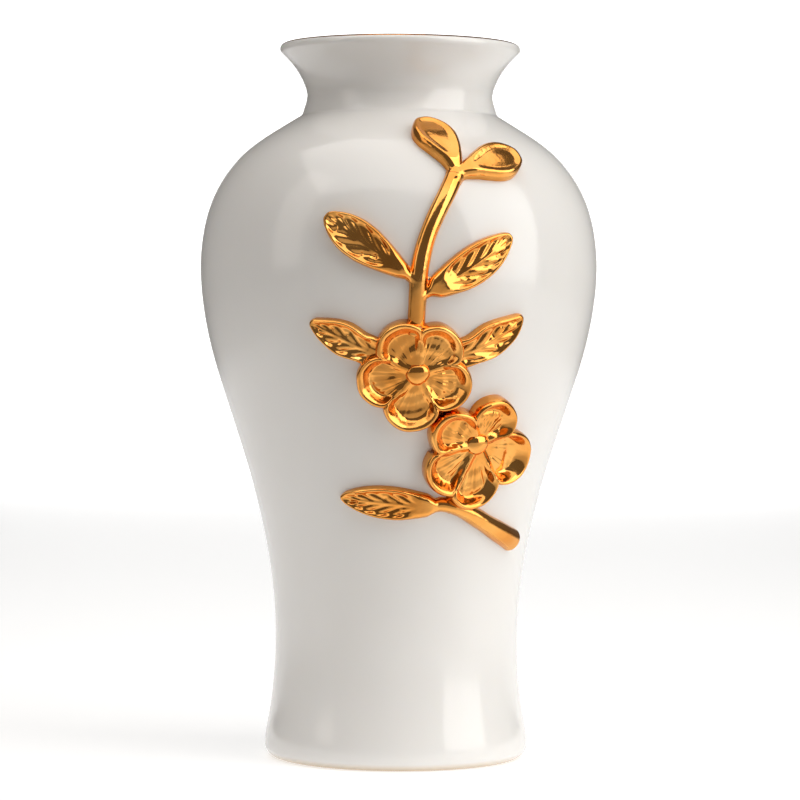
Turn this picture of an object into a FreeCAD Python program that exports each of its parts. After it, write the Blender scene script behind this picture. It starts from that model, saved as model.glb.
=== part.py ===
import FreeCAD, Part
import math
import os

# Porcelain baluster vase with a gilded flowering twig modelled on the front of its wall.
# Millimetres, +Z up. The vase stands on Z = 0, centred on the Z axis, and its front faces -Y.

Vector = FreeCAD.Vector

# ---- the vase ----
TOTAL_HEIGHT = 300.0
WALL_THICKNESS = 4.5
FOOT_CORNER_RADIUS = 5.5
FOOT_RADIUS = 55.25
FOOT_RING_INNER_RADIUS = 44.5
FOOT_RECESS_DEPTH = 3.0
FOOT_RECESS_ROUND = 1.6
FLOOR_HEIGHT = 8.0
FLOOR_CORNER_RADIUS = 9.0
FLOOR_WALL_RADIUS = 48.5  # of the hollow where the floor's round meets the wall
WAIST = (50.0, 51.0)  # height, radius
BELLY = (205.0, 83.5)
WALL_STATIONS = [
    (17.0, 53.7),
    (30.0, 52.0),
    WAIST,
    (75.0, 52.6),
    (100.0, 57.1),
    (125.0, 63.9),
    (150.0, 72.1),
    (175.0, 79.5),
    (190.0, 82.3),
    BELLY,
    (220.0, 82.4),
    (232.0, 79.4),
    (243.0, 74.1),
    (252.0, 67.1),
    (260.0, 57.2),
]
NECK_CORNER = (270.0, 41.2)
NECK_CORNER_RADIUS = 2.6
SHOULDER_SLOPE = -1.62  # change of radius per unit of height where the shoulder meets the neck
NECK_SLOPE = -0.28
NECK_STATIONS = [(278.3, 39.1), (287.5, 42.6)]
LIP_RADIUS = 2.27
LIP_CENTRE_RADIUS = 48.37
LIP_FLARE_ANGLE = 45.0
INNER_WALL_STATIONS = 18
INNER_WALL_SPAN = (0.12, 0.97)  # the part of the outer curve that the hollow follows
INNER_NECK_STATIONS = 6
INNER_NECK_SPAN = (0.12, 0.9)

HALVINGS = 40

# ---- the gold band on the lip ----
GILDING_THICKNESS = 0.25
GILDING_START_ANGLE = 45.0  # round the lip's section, 90 degrees being the top
GILDING_END_ANGLE = 140.0  # where the hollow's flare runs into the lip

# ---- the modelled twig ----
# A spot on the wall is (degrees round from the front, height); +degrees runs towards +X.
# A heading is in degrees on the unrolled wall: 0 is level towards +X and 90 is straight up.
ROOT_DEPTH = 2.6  # how far each modelled piece starts below the wall before it is fitted to it
# Cross sections, from the root inwards, as shares of the half width and of the height.
ROUND_SHOULDERS = [(0.96, 0.3), (0.6, 0.83)]
DISHED_SHOULDERS = [(0.96, 0.45), (0.8, 1.0)]

STEM_PATH = [(5.0, 180.0), (5.2, 190.0), (5.7, 203.0), (8.1, 217.7), (12.1, 229.6), (19.4, 245.6)]
STEM_HALF_WIDTH = 3.3
STEM_HEIGHT = 3.6
TWIG_PATH = [(16.5, 109.5), (23.3, 108.6), (29.2, 105.9), (36.3, 102.3), (46.5, 97.6), (64.5, 91.4)]
TWIG_START_HALF_WIDTH = 3.0
TWIG_END_HALF_WIDTH = 5.0
TWIG_HEIGHT = 4.6
STEM_STATIONS = 11
STEM_END_SHARE = 0.78  # how much of its width and height a stem keeps at its rounded end

LEAF_STALK_HALF_WIDTH = 1.9
LEAF_STALK_HEIGHT = 2.6
LEAF_RIM_HEIGHT = 3.2
LEAF_FIELD_HEIGHT = 2.2
LEAF_TIP_HEIGHT = 1.3
LEAF_STATIONS = 10
BLADE_TIP_HALF_WIDTH = 0.9
BLADE_FULLNESS = 0.85  # below 1 the blade's outline is fuller than a sine curve
BLADE_SPREAD_SHARE = 0.6  # how far towards its widest place a neck turns into a blade
# name, spot of the stalk's root, spot of the tip, half width, sideways bow, where it is widest
LEAVES = [
    ("leaf_upper_left", (4.8, 199.4), (-20.9, 225.4), 8.0, 0.6, 0.62),
    ("leaf_upper_right", (5.6, 193.4), (32.3, 218.2), 7.8, -1.7, 0.55),
    ("leaf_middle_left", (-8.4, 172.0), (-25.5, 183.4), 7.3, 0.5, 0.36),
    ("leaf_middle_right", (18.6, 170.8), (36.6, 186.6), 7.4, -1.8, 0.4),
    ("leaf_lower", (21.0, 108.6), (-22.6, 112.4), 7.0, 0.6, 0.55),
]

BUD_NECK_HALF_WIDTH = 2.6
BUD_NECK_HEIGHT = 3.4
BUD_RIM_HEIGHT = 3.9
BUD_FIELD_HEIGHT = 2.9
BUD_TIP_HEIGHT = 2.4
# name, spot of the neck at the fork, spot of the tip, half width, sideways bow, where it is widest
BUDS = [
    ("bud_left", (17.4, 240.6), (7.4, 263.0), 8.9, -1.6, 0.66),
    ("bud_right", (17.0, 240.2), (42.8, 247.3), 8.8, 3.0, 0.66),
]

PETAL_ROOT_DEPTH = 5.0
PETAL_RIM_HEIGHT = 6.0
PETAL_RIM_WIDTH = 3.0
PETAL_RIM_TOP_INSET = 1.6
PETAL_RIM_EDGE_HEIGHT = 4.4
PETAL_RIM_EDGE_INSET = 0.4
PETAL_BOWL_HEIGHT = 2.0
PETAL_BOWL_EDGE_HEIGHT = 5.1
WELL_HEIGHT = 2.3  # the petals sink to this round the button
WELL_EDGE_HEIGHT = 6.6
WELL_CEILING = 18.0
WELL_RADIUS = 15.0
WEDGE_REACH = 60.0
WEDGE_HALF_DEPTH = 40.0
BUTTON_RADIUS = 4.4
BUTTON_SHOULDER_HEIGHT = 2.2
BUTTON_HEIGHT = 4.7
# heading, distance of the petal's middle from the button, petal radius
UPPER_FLOWER_SPOT = (5.8, 162.6)
UPPER_PETALS = [
    (118.0, 11.9, 11.6),
    (57.0, 11.7, 11.4),
    (-21.0, 11.0, 11.4),
    (-99.0, 12.4, 11.8),
    (191.0, 12.6, 11.8),
]
LOWER_FLOWER_SPOT = (27.9, 134.4)
LOWER_PETALS = [
    (65.0, 11.2, 10.6),
    (-21.0, 14.4, 12.2),
    (-91.0, 16.0, 11.6),
    (227.0, 13.6, 12.2),
    (157.0, 11.6, 11.0),
]


def profile_point(height, radius):
    return Vector(radius, 0, height)


def slope_direction(slope):
    return Vector(slope, 0, 1).normalize()


def arc(start, middle, end):
    return Part.Arc(start, middle, end).toShape()


def round_point(centre, radius, degrees):
    angle = math.radians(degrees)
    return centre + Vector(radius * math.cos(angle), 0, radius * math.sin(angle))


def neck_corner_ends():
    """Where the small round between shoulder and neck begins and ends."""
    corner = profile_point(*NECK_CORNER)
    before = slope_direction(SHOULDER_SLOPE)
    after = slope_direction(NECK_SLOPE)
    reach = NECK_CORNER_RADIUS * math.tan(before.getAngle(after) / 2)
    return corner - before * reach, corner + after * reach


def lip_centre():
    return profile_point(TOTAL_HEIGHT - LIP_RADIUS, LIP_CENTRE_RADIUS)


def outer_wall_curve():
    """The baluster outline from the foot's corner up to the neck corner."""
    stations = [profile_point(FOOT_CORNER_RADIUS, FOOT_RADIUS)]
    stations += [profile_point(*station) for station in WALL_STATIONS]
    stations.append(neck_corner_ends()[0])
    curve = Part.BSplineCurve()
    curve.interpolate(
        Points=stations,
        InitialTangent=Vector(0, 0, 1),
        FinalTangent=slope_direction(SHOULDER_SLOPE),
    )
    return curve


def outer_neck_curve():
    """The concave neck, from the neck corner out to the underside of the lip."""
    stations = [neck_corner_ends()[1]]
    stations += [profile_point(*station) for station in NECK_STATIONS]
    stations.append(round_point(lip_centre(), LIP_RADIUS, -LIP_FLARE_ANGLE))
    flare = math.radians(LIP_FLARE_ANGLE)
    curve = Part.BSplineCurve()
    curve.interpolate(
        Points=stations,
        InitialTangent=slope_direction(NECK_SLOPE),
        FinalTangent=Vector(math.sin(flare), 0, math.cos(flare)),
    )
    return curve


WALL = outer_wall_curve()
NECK = outer_neck_curve()


def inward_points(curve, count, first, last):
    """Points a wall thickness inside a curve, evenly spread between two fractions of it."""
    span = curve.LastParameter - curve.FirstParameter
    points = []
    for index in range(count):
        fraction = first + (last - first) * index / (count - 1)
        parameter = curve.FirstParameter + span * fraction
        tangent = curve.tangent(parameter)[0]
        inward = Vector(-tangent.z, 0, tangent.x)
        points.append(curve.value(parameter) + inward * WALL_THICKNESS)
    return points


def revolved(edges):
    face = Part.Face(Part.Wire(Part.sortEdges(edges)[0]))
    return face.revolve(Vector(0, 0, 0), Vector(0, 0, 1), 360)


def outside_edges():
    """The outside from the foot ring's contact circle up to the underside of the lip."""
    corner = profile_point(FOOT_CORNER_RADIUS, FOOT_RADIUS - FOOT_CORNER_RADIUS)
    foot_edge = profile_point(0, corner.x)
    before, after = neck_corner_ends()
    chord_middle = (before + after) * 0.5
    bulge = (chord_middle + profile_point(*NECK_CORNER)) * 0.5
    return [
        arc(foot_edge, round_point(corner, FOOT_CORNER_RADIUS, -45), WALL.StartPoint),
        WALL.toShape(),
        arc(before, bulge, after),
        NECK.toShape(),
    ]


def inside_edges():
    """The hollow from the lip's inner side down a wall thickness in from the outside."""
    floor_corner = profile_point(
        FLOOR_HEIGHT + FLOOR_CORNER_RADIUS,
        FLOOR_WALL_RADIUS - FLOOR_CORNER_RADIUS,
    )
    floor_edge = profile_point(FLOOR_HEIGHT, floor_corner.x)
    wall_start = round_point(floor_corner, FLOOR_CORNER_RADIUS, 0)
    points = [wall_start]
    points += inward_points(WALL, INNER_WALL_STATIONS, *INNER_WALL_SPAN)
    points += inward_points(NECK, INNER_NECK_STATIONS, *INNER_NECK_SPAN)
    points.append(round_point(lip_centre(), LIP_RADIUS, GILDING_END_ANGLE))
    end_angle = math.radians(GILDING_END_ANGLE)
    inside = Part.BSplineCurve()
    inside.interpolate(
        Points=points,
        InitialTangent=Vector(0, 0, 1),
        FinalTangent=Vector(math.sin(end_angle), 0, -math.cos(end_angle)),
    )
    return [
        inside.toShape(),
        arc(wall_start, round_point(floor_corner, FLOOR_CORNER_RADIUS, -45), floor_edge),
        Part.makeLine(floor_edge, profile_point(FLOOR_HEIGHT, 0)),
    ]


def lip_edges():
    """The round lip, let in by the gilding's thickness where the gold band lies."""
    lip = lip_centre()
    bed_radius = LIP_RADIUS - GILDING_THICKNESS
    outer_start = round_point(lip, LIP_RADIUS, -LIP_FLARE_ANGLE)
    outer_end = round_point(lip, LIP_RADIUS, GILDING_START_ANGLE)
    bed_start = round_point(lip, bed_radius, GILDING_START_ANGLE)
    bed_end = round_point(lip, bed_radius, GILDING_END_ANGLE)
    inner_start = round_point(lip, LIP_RADIUS, GILDING_END_ANGLE)
    return [
        arc(outer_start, round_point(lip, LIP_RADIUS, 0), outer_end),
        Part.makeLine(outer_end, bed_start),
        arc(bed_start, round_point(lip, bed_radius, 90), bed_end),
        Part.makeLine(bed_end, inner_start),
    ]


def underside_edges():
    """The shallow hollow under the base that leaves a foot ring to stand on."""
    rounding = profile_point(
        FOOT_RECESS_DEPTH - FOOT_RECESS_ROUND,
        FOOT_RING_INNER_RADIUS - FOOT_RECESS_ROUND,
    )
    side_top = round_point(rounding, FOOT_RECESS_ROUND, 0)
    roof_edge = round_point(rounding, FOOT_RECESS_ROUND, 90)
    ring_inner = profile_point(0, FOOT_RING_INNER_RADIUS)
    ring_outer = profile_point(0, FOOT_RADIUS - FOOT_CORNER_RADIUS)
    return [
        Part.makeLine(profile_point(FOOT_RECESS_DEPTH, 0), roof_edge),
        arc(roof_edge, round_point(rounding, FOOT_RECESS_ROUND, 45), side_top),
        Part.makeLine(side_top, ring_inner),
        Part.makeLine(ring_inner, ring_outer),
    ]


def vase_body():
    """The cast porcelain body: underside, outside, lip and hollow in one turned section."""
    edges = underside_edges() + outside_edges() + lip_edges() + inside_edges()
    floor_middle = profile_point(FLOOR_HEIGHT, 0)
    edges.append(Part.makeLine(floor_middle, profile_point(FOOT_RECESS_DEPTH, 0)))
    return revolved(edges)


def envelope():
    """The full outside of the vase as a solid without its hollow, for trimming pieces to."""
    foot_edge = profile_point(0, FOOT_RADIUS - FOOT_CORNER_RADIUS)
    neck_end = round_point(lip_centre(), LIP_RADIUS, -LIP_FLARE_ANGLE)
    top_middle = profile_point(neck_end.z, 0)
    edges = [Part.makeLine(Vector(0, 0, 0), foot_edge)]
    edges += outside_edges()
    edges.append(Part.makeLine(neck_end, top_middle))
    edges.append(Part.makeLine(top_middle, Vector(0, 0, 0)))
    return revolved(edges)


def rim_gilding():
    """The thin gold band over the top of the lip, flush with the glaze on both sides."""
    lip = lip_centre()
    inner_radius = LIP_RADIUS - GILDING_THICKNESS
    middle_angle = (GILDING_START_ANGLE + GILDING_END_ANGLE) / 2
    inner = [
        round_point(lip, inner_radius, angle)
        for angle in (GILDING_START_ANGLE, middle_angle, GILDING_END_ANGLE)
    ]
    outer = [
        round_point(lip, LIP_RADIUS, angle)
        for angle in (GILDING_START_ANGLE, middle_angle, GILDING_END_ANGLE)
    ]
    edges = [
        arc(*inner),
        Part.makeLine(inner[2], outer[2]),
        arc(outer[2], outer[1], outer[0]),
        Part.makeLine(outer[0], inner[0]),
    ]
    return revolved(edges)


def wall_parameter(height):
    """The wall curve's parameter at a height, found by halving."""
    low = WALL.FirstParameter
    high = WALL.LastParameter
    for _ in range(HALVINGS):
        middle = (low + high) / 2
        if WALL.value(middle).z < height:
            low = middle
        else:
            high = middle
    return (low + high) / 2


def wall_frame(spot):
    """A spot's point on the wall with its level, upward and outward directions."""
    angle = math.radians(spot[0])
    parameter = wall_parameter(spot[1])
    point = WALL.value(parameter)
    tangent = WALL.tangent(parameter)[0]
    around = Vector(math.sin(angle), -math.cos(angle), 0)
    level = Vector(math.cos(angle), math.sin(angle), 0)
    upward = around * tangent.x + Vector(0, 0, tangent.z)
    outward = around * tangent.z - Vector(0, 0, tangent.x)
    return around * point.x + Vector(0, 0, point.z), level, upward, outward


def wall_walk(spot, heading, distance):
    """The spot reached by going a distance along the wall in one heading."""
    turn = math.radians(heading)
    rise = distance * math.sin(turn)
    parameter = WALL.parameterAtDistance(rise, wall_parameter(spot[1]))
    reached = WALL.value(parameter)
    return spot[0] + math.degrees(distance * math.cos(turn) / reached.x), reached.z


def wall_heading(start, end):
    """Heading and distance along the wall from one spot to another."""
    first = wall_parameter(start[1])
    last = wall_parameter(end[1])
    rise = WALL.length(min(first, last), max(first, last))
    if last < first:
        rise = -rise
    level = math.radians(end[0] - start[0]) * WALL.value(last).x
    return math.degrees(math.atan2(rise, level)), math.hypot(level, rise)


def section(spot, ahead, outline):
    """A closed outline standing across the way ahead; its points are (sideways, outward)."""
    point, level, upward, outward = wall_frame(spot)
    along = (wall_frame(ahead)[0] - point).normalize()
    sideways = outward.cross(along).normalize()
    points = [point + sideways * across + outward * rise for across, rise in outline]
    top = Part.BSplineCurve()
    top.interpolate(Points=points, InitialTangent=outward, FinalTangent=-outward)
    return Part.Wire([top.toShape(), Part.makeLine(points[-1], points[0])])


def ridge_outline(half_width, height, middle_height, shoulders):
    """Half an outline mirrored: root below the wall, shoulders, and the middle of the back."""
    depth = min(ROOT_DEPTH, 0.5 * (ROOT_DEPTH + half_width))
    left = [(-half_width, -depth)]
    left += [(-across * half_width, rise * height) for across, rise in shoulders]
    right = [(-across, rise) for across, rise in reversed(left)]
    return left + [(0, middle_height)] + right


def path_spots(stations, count):
    """Evenly spread spots along a smooth path through a few stations."""
    curve = Part.BSplineCurve()
    curve.interpolate([Vector(angle, height, 0) for angle, height in stations])
    span = curve.LastParameter - curve.FirstParameter
    points = [
        curve.value(curve.FirstParameter + span * index / (count - 1)) for index in range(count)
    ]
    return [(point.x, point.y) for point in points]


def stem(stations, start_half_width, end_half_width, height):
    """A half-round length of stem laid along the wall, rounded over at its far end."""
    spots = path_spots(stations, STEM_STATIONS + 1)
    sections = []
    for index in range(STEM_STATIONS):
        share = index / (STEM_STATIONS - 1)
        half_width = start_half_width + (end_half_width - start_half_width) * share
        rise = height
        if index == STEM_STATIONS - 1:
            half_width = STEM_END_SHARE * half_width
            rise = STEM_END_SHARE * height
        outline = ridge_outline(half_width, rise, rise, ROUND_SHOULDERS)
        sections.append(section(spots[index], spots[index + 1], outline))
    return Part.makeLoft(sections, True, False)


def blade(root, tip, half_width, bow, widest, neck, rim_height, field_height, tip_height):
    """A leaf or bud laid along the wall: narrow neck, oval dished blade, rounded tip."""
    heading, length = wall_heading(root, tip)
    neck_half_width, neck_height = neck
    skew = math.log(0.5) / math.log(widest)
    spots = []
    shares = [math.sin(0.5 * math.pi * index / LEAF_STATIONS) for index in range(LEAF_STATIONS + 1)]
    for share in shares:
        spot = wall_walk(root, heading, share * length)
        spots.append(wall_walk(spot, heading + 90, bow * math.sin(math.pi * share)))
    sections = []
    for index, share in enumerate(shares[:-1]):
        swell = math.sin(math.pi * share**skew) ** BLADE_FULLNESS
        width = neck_half_width + (half_width - neck_half_width) * swell
        if share > widest:
            width = BLADE_TIP_HALF_WIDTH + (half_width - BLADE_TIP_HALF_WIDTH) * swell
        spread = min(1.0, share / (BLADE_SPREAD_SHARE * widest))
        rim = neck_height + (rim_height - neck_height) * spread
        field = neck_height + (field_height - neck_height) * spread
        closing = max(0.0, (share - widest) / (1 - widest)) ** 2
        rim = rim + (tip_height - rim) * closing
        field = field + (tip_height - field) * closing
        outline = ridge_outline(width, rim, field, DISHED_SHOULDERS)
        sections.append(section(spots[index], spots[index + 1], outline))
    return Part.makeLoft(sections, True, False)


def placed(shape, spot):
    """A shape drawn about the Z axis, stood on the wall at a spot."""
    point, level, upward, outward = wall_frame(spot)
    turn = FreeCAD.Rotation(level, upward, outward, "ZXY")
    shape.Placement = FreeCAD.Placement(point, turn)
    return shape


def cap_arc(pole, edge):
    """From a pole on the Z axis out to an edge, along a sphere centred on that axis."""
    rise = edge.z - pole.z
    radius = (edge.x**2 + rise**2) / (2 * rise)
    centre = pole + Vector(0, 0, radius)
    towards_middle = ((pole - centre) + (edge - centre)).normalize()
    return arc(pole, centre + towards_middle * abs(radius), edge)


def petal_cup(radius):
    """A round cup: shallow bowl, thick rounded rim and a wall down to below the surface."""
    bowl_bottom = profile_point(PETAL_BOWL_HEIGHT, 0)
    bowl_edge = profile_point(PETAL_BOWL_EDGE_HEIGHT, radius - PETAL_RIM_WIDTH)
    rim_top = profile_point(PETAL_RIM_HEIGHT, radius - PETAL_RIM_TOP_INSET)
    rim_edge = profile_point(PETAL_RIM_EDGE_HEIGHT, radius - PETAL_RIM_EDGE_INSET)
    root_edge = profile_point(-PETAL_ROOT_DEPTH, radius)
    root_middle = profile_point(-PETAL_ROOT_DEPTH, 0)
    edges = [
        cap_arc(bowl_bottom, bowl_edge),
        arc(bowl_edge, rim_top, rim_edge),
        Part.makeLine(rim_edge, root_edge),
        Part.makeLine(root_edge, root_middle),
        Part.makeLine(root_middle, bowl_bottom),
    ]
    return revolved(edges)


def flower_well():
    """The air above a flower's middle, which lets the petals sink towards the button."""
    middle = profile_point(WELL_HEIGHT, 0)
    edge = profile_point(WELL_EDGE_HEIGHT, WELL_RADIUS)
    ceiling_edge = profile_point(WELL_CEILING, WELL_RADIUS)
    ceiling_middle = profile_point(WELL_CEILING, 0)
    edges = [
        cap_arc(middle, edge),
        Part.makeLine(edge, ceiling_edge),
        Part.makeLine(ceiling_edge, ceiling_middle),
        Part.makeLine(ceiling_middle, middle),
    ]
    return revolved(edges)


def flower_button():
    """The small domed button, reaching down to the wall between the petals."""
    root_edge = profile_point(-PETAL_ROOT_DEPTH, BUTTON_RADIUS)
    shoulder = profile_point(BUTTON_SHOULDER_HEIGHT, BUTTON_RADIUS)
    top = profile_point(BUTTON_HEIGHT, 0)
    root_middle = profile_point(-PETAL_ROOT_DEPTH, 0)
    edges = [
        Part.makeLine(root_middle, root_edge),
        Part.makeLine(root_edge, shoulder),
        cap_arc(top, shoulder),
        Part.makeLine(top, root_middle),
    ]
    return revolved(edges)


def petal_wedge(heading_before, heading_after):
    """The slice of a flower between two seams."""
    floor = Vector(0, 0, -WEDGE_HALF_DEPTH)
    corners = [floor]
    for share in (0.0, 0.5, 1.0):
        heading = math.radians(heading_before + (heading_after - heading_before) * share)
        ray = Vector(math.cos(heading), math.sin(heading), 0)
        corners.append(floor + ray * WEDGE_REACH)
    corners.append(floor)
    face = Part.Face(Part.makePolygon(corners))
    return face.extrude(Vector(0, 0, 2 * WEDGE_HALF_DEPTH))


def seam_headings(petals):
    """For each petal, the headings of the seams on its two sides."""
    headings = [heading % 360 for heading, reach, radius in petals]
    pairs = []
    for heading in headings:
        gaps = sorted((other - heading) % 360 for other in headings if other != heading)
        pairs.append((heading - (360 - gaps[-1]) / 2, heading + gaps[0] / 2))
    return pairs


def flower(spot, petals, name):
    """A flower's petals and button, each fitted against its neighbours."""
    button = placed(flower_button(), spot)
    well = placed(flower_well(), spot)
    pieces = {}
    for index, (petal, seams) in enumerate(zip(petals, seam_headings(petals))):
        heading, reach, radius = petal
        cup = placed(petal_cup(radius), wall_walk(spot, heading, reach))
        wedge = placed(petal_wedge(*seams), spot)
        pieces[f"{name}_petal_{index + 1}"] = cup.common(wedge).cut(well).cut(button)
    pieces[f"{name}_centre"] = button
    return pieces


def largest_solid(shape):
    return max(shape.Solids, key=lambda solid: solid.Volume)


def fitted(shape, neighbours):
    """A piece trimmed to the wall and to the pieces already in place."""
    for neighbour in neighbours:
        shape = shape.cut(neighbour)
    return largest_solid(shape)


def twig_pieces(wall):
    """Every piece of the modelled twig, fitted in the order it would be pressed on."""
    pieces = {}
    for name, shape in flower(UPPER_FLOWER_SPOT, UPPER_PETALS, "flower_upper").items():
        pieces[name] = fitted(shape, [wall])
    upper_flower = list(pieces.values())
    for name, shape in flower(LOWER_FLOWER_SPOT, LOWER_PETALS, "flower_lower").items():
        pieces[name] = fitted(shape, [wall] + upper_flower)
    flowers = list(pieces.values())

    upper = stem(STEM_PATH, STEM_HALF_WIDTH, STEM_HALF_WIDTH, STEM_HEIGHT)
    pieces["upper_stem"] = fitted(upper, [wall] + flowers)
    lower = stem(TWIG_PATH, TWIG_START_HALF_WIDTH, TWIG_END_HALF_WIDTH, TWIG_HEIGHT)
    pieces["lower_stem"] = fitted(lower, [wall] + flowers)
    placed_so_far = flowers + [pieces["upper_stem"], pieces["lower_stem"]]

    leaf_neck = (LEAF_STALK_HALF_WIDTH, LEAF_STALK_HEIGHT)
    leaf_heights = (LEAF_RIM_HEIGHT, LEAF_FIELD_HEIGHT, LEAF_TIP_HEIGHT)
    for name, root, tip, half_width, bow, widest in LEAVES:
        shape = blade(root, tip, half_width, bow, widest, leaf_neck, *leaf_heights)
        pieces[name] = fitted(shape, [wall] + placed_so_far)

    bud_neck = (BUD_NECK_HALF_WIDTH, BUD_NECK_HEIGHT)
    bud_heights = (BUD_RIM_HEIGHT, BUD_FIELD_HEIGHT, BUD_TIP_HEIGHT)
    for name, root, tip, half_width, bow, widest in BUDS:
        shape = blade(root, tip, half_width, bow, widest, bud_neck, *bud_heights)
        pieces[name] = fitted(shape, [wall] + placed_so_far)
        placed_so_far.append(pieces[name])
    return pieces


def main():
    os.makedirs("parts", exist_ok=True)
    pieces = {"vase_body": vase_body(), "rim_gilding": rim_gilding()}
    pieces.update(twig_pieces(envelope()))
    for name, shape in pieces.items():
        box = shape.BoundBox
        print(
            f"{name}: valid {shape.isValid()} solids {len(shape.Solids)} "
            f"volume {shape.Volume:.0f} box {box.XMin:.1f} {box.YMin:.1f} {box.ZMin:.1f} "
            f"to {box.XMax:.1f} {box.YMax:.1f} {box.ZMax:.1f}"
        )
        shape.exportStep(f"parts/{name}.step")


if __name__ == "__main__":
    main()
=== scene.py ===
import math

import bpy
import numpy as np
from mathutils import Matrix, Vector


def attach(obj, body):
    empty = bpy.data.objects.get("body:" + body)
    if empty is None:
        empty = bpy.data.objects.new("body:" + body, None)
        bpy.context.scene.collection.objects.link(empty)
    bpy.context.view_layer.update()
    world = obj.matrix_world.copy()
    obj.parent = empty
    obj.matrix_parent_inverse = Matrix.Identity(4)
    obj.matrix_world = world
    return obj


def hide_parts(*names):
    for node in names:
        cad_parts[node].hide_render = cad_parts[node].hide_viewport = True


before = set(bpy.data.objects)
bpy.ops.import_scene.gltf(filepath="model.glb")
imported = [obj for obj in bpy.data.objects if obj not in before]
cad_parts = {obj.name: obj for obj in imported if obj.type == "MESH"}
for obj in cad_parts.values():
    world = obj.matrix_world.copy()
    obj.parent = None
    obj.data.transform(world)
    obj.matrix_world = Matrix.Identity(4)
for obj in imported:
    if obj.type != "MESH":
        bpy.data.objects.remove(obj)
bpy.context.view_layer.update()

# Metres in the CAD frame: +Z up, the vase's axis on Z, the twig on the front at -Y.
MM = 0.001
rng = np.random.default_rng(20)

WHITE_SLOT = "white_porcelain"
GOLD_SLOT = "gold_lustre"

# ---- studio ----
FLOOR_SIZE = 8.0
FLOOR_COLOUR = (0.68, 0.68, 0.68)
FLOOR_ROUGHNESS = 0.6
FLOOR_GLOW = 0.8
# the part of the floor that glows: axis, where the glow starts and where it is full, in metres
FLOOR_GLOW_AREA = (("Y", -0.25, -0.12), ("X", -0.7, -0.5), ("X", 0.7, 0.5))
BACKDROP_WIDTH = 1.1
BACKDROP_HEIGHT = 0.66
BACKDROP_DISTANCE = 2.4
BACKDROP_COLOUR = (0.96, 0.96, 0.96)
BACKDROP_ROUGHNESS = 0.8
BACKDROP_GLOW = 1.1
STAGE_SHADE = 0.985  # the darker tone of a stage material's faint clouds
WORLD_COLOUR = (0.95, 0.93, 0.9)
WORLD_STRENGTH = 0.15
LIGHT_AIM = (0, 0, 0.16)
# name, width, height, azimuth in degrees to the right of the camera, distance, level,
# radiance, colour; lengths in metres
STUDIO_LIGHTS = (
    ("key_right", 1.3, 1.8, 64, 1.45, 0.85, 2.6, (1.0, 0.985, 0.96)),
    ("fill_left", 0.5, 1.5, -66, 1.3, 0.85, 1.05, (1.0, 0.93, 0.86)),
    ("overhead", 2.0, 1.5, -10, 0.3, 1.5, 1.45, (1.0, 0.97, 0.94)),
)

# ---- camera ----
CAMERA_PLACE = (0.0, -1308.8 * MM, 175.8 * MM)
CAMERA_LENS = 139.44
CAMERA_SENSOR = 36
CAMERA_PITCH_DOWN = math.radians(1.117)
CAMERA_YAW_RIGHT = math.radians(0.04)
CAMERA_ROLL = math.radians(0.378)

# ---- turned body ----
BODY_SEGMENTS = 288
POINT_GRID = 0.01 * MM  # CAD points of the section closer than this are one point
SECTION_STEP = 2.2 * MM  # farthest apart where the section is gentle
SECTION_TURN = math.radians(7)  # sharpest bend left between two points
SECTION_CLOSEST = 0.12 * MM
SECTION_WIDEST_GAP = 12 * MM  # the walk round the section ends at a wider gap
SECTION_STRAIGHTNESS = 1.5  # how strongly the walk prefers to go straight on
SECTION_HEADING_STEP = 0.3 * MM
# where the walk starts: on the roof of the recess under the foot
RECESS_SEARCH_FOOT = 2.9 * MM
RECESS_SEARCH_TOP = 3.1 * MM
RECESS_SEARCH_RADIUS = 42 * MM

# ---- wall under the modelled pieces ----
WALL_FOOT = 6 * MM
WALL_TOP = 269.3 * MM  # below the corner between shoulder and neck
WALL_STEP = 0.25 * MM
WALL_STRETCH_POINTS = 12
WALL_SMOOTHINGS = 6
NEAREST_ROUNDS = 25
NEAREST_STRIDE = 0.8

# ---- modelled pieces ----
# A "share" is a place along a piece, from 0 at its root to 1 at its tip.
SKIRT = 0.8 * MM  # how far every modelled piece runs into the wall
TINY = 1e-6
STRIP_COUNT = 34  # strips a CAD piece is measured in
STRIP_FEWEST = 6  # points a strip of a stem, leaf or bud needs
PETAL_STRIP_FEWEST = 3
WHOLE_STRIP_SLACK = 0.35 * MM  # a strip narrower than this below the width is cut by a neighbour
MIDDLE_LINE_DEGREE = 4
PETAL_OUTLINE_DEGREE = 6
PETAL_EDGE_RING = (7 * MM, 12 * MM)  # distances where a petal's two sides are measured
PETAL_FAR_SHARE = 0.6

RIDGE_COLUMNS = 48
STEM_ROWS = 190
BLADE_ROWS = 170
WIDTH_SMOOTHINGS = 3
NARROWEST_HALF = 0.05 * MM
TIP_SHARE = 0.06  # the length over which a leaf or bud closes
TIP_EXTRA = 0.3 * MM
BEYOND_TIP_WIDTH = 0.2
ROOT_START_SHARE = 0.02
EDGE_MARGINS = (0.4, 1.0, 1.6)  # millimetres beyond a piece's outline, where its skirt lies
SKIRT_SLOPE = 1.1
JOINT_GAP = 0.06 * MM  # where two pieces run together, the lower one lies this far under
JOINT_GAP_SPAN = 0.3 * MM
JOINT_BLEND = 1.5 * MM  # size of the fillet between two pieces
JOINT_FADE = 0.5 * MM

WANDER_WAVES = 4
STEM_WIDTH_WANDER = 0.025
STEM_HEIGHT_WANDER = 0.03
WANDER_PLACES = np.linspace(0, 1, 60)
ROOT_TAPER_SHARE = 0.16
ROOT_NARROWING = 0.12
BACK_ROUNDNESS = 1.05
CUT_WIDTH = 0.55  # shares of the width and height that a cut end keeps at its very edge
CUT_WIDTH_ROUND = 2.6 * MM
CUT_HEIGHT = 0.3
CUT_HEIGHT_ROUND = 2.4 * MM

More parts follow.
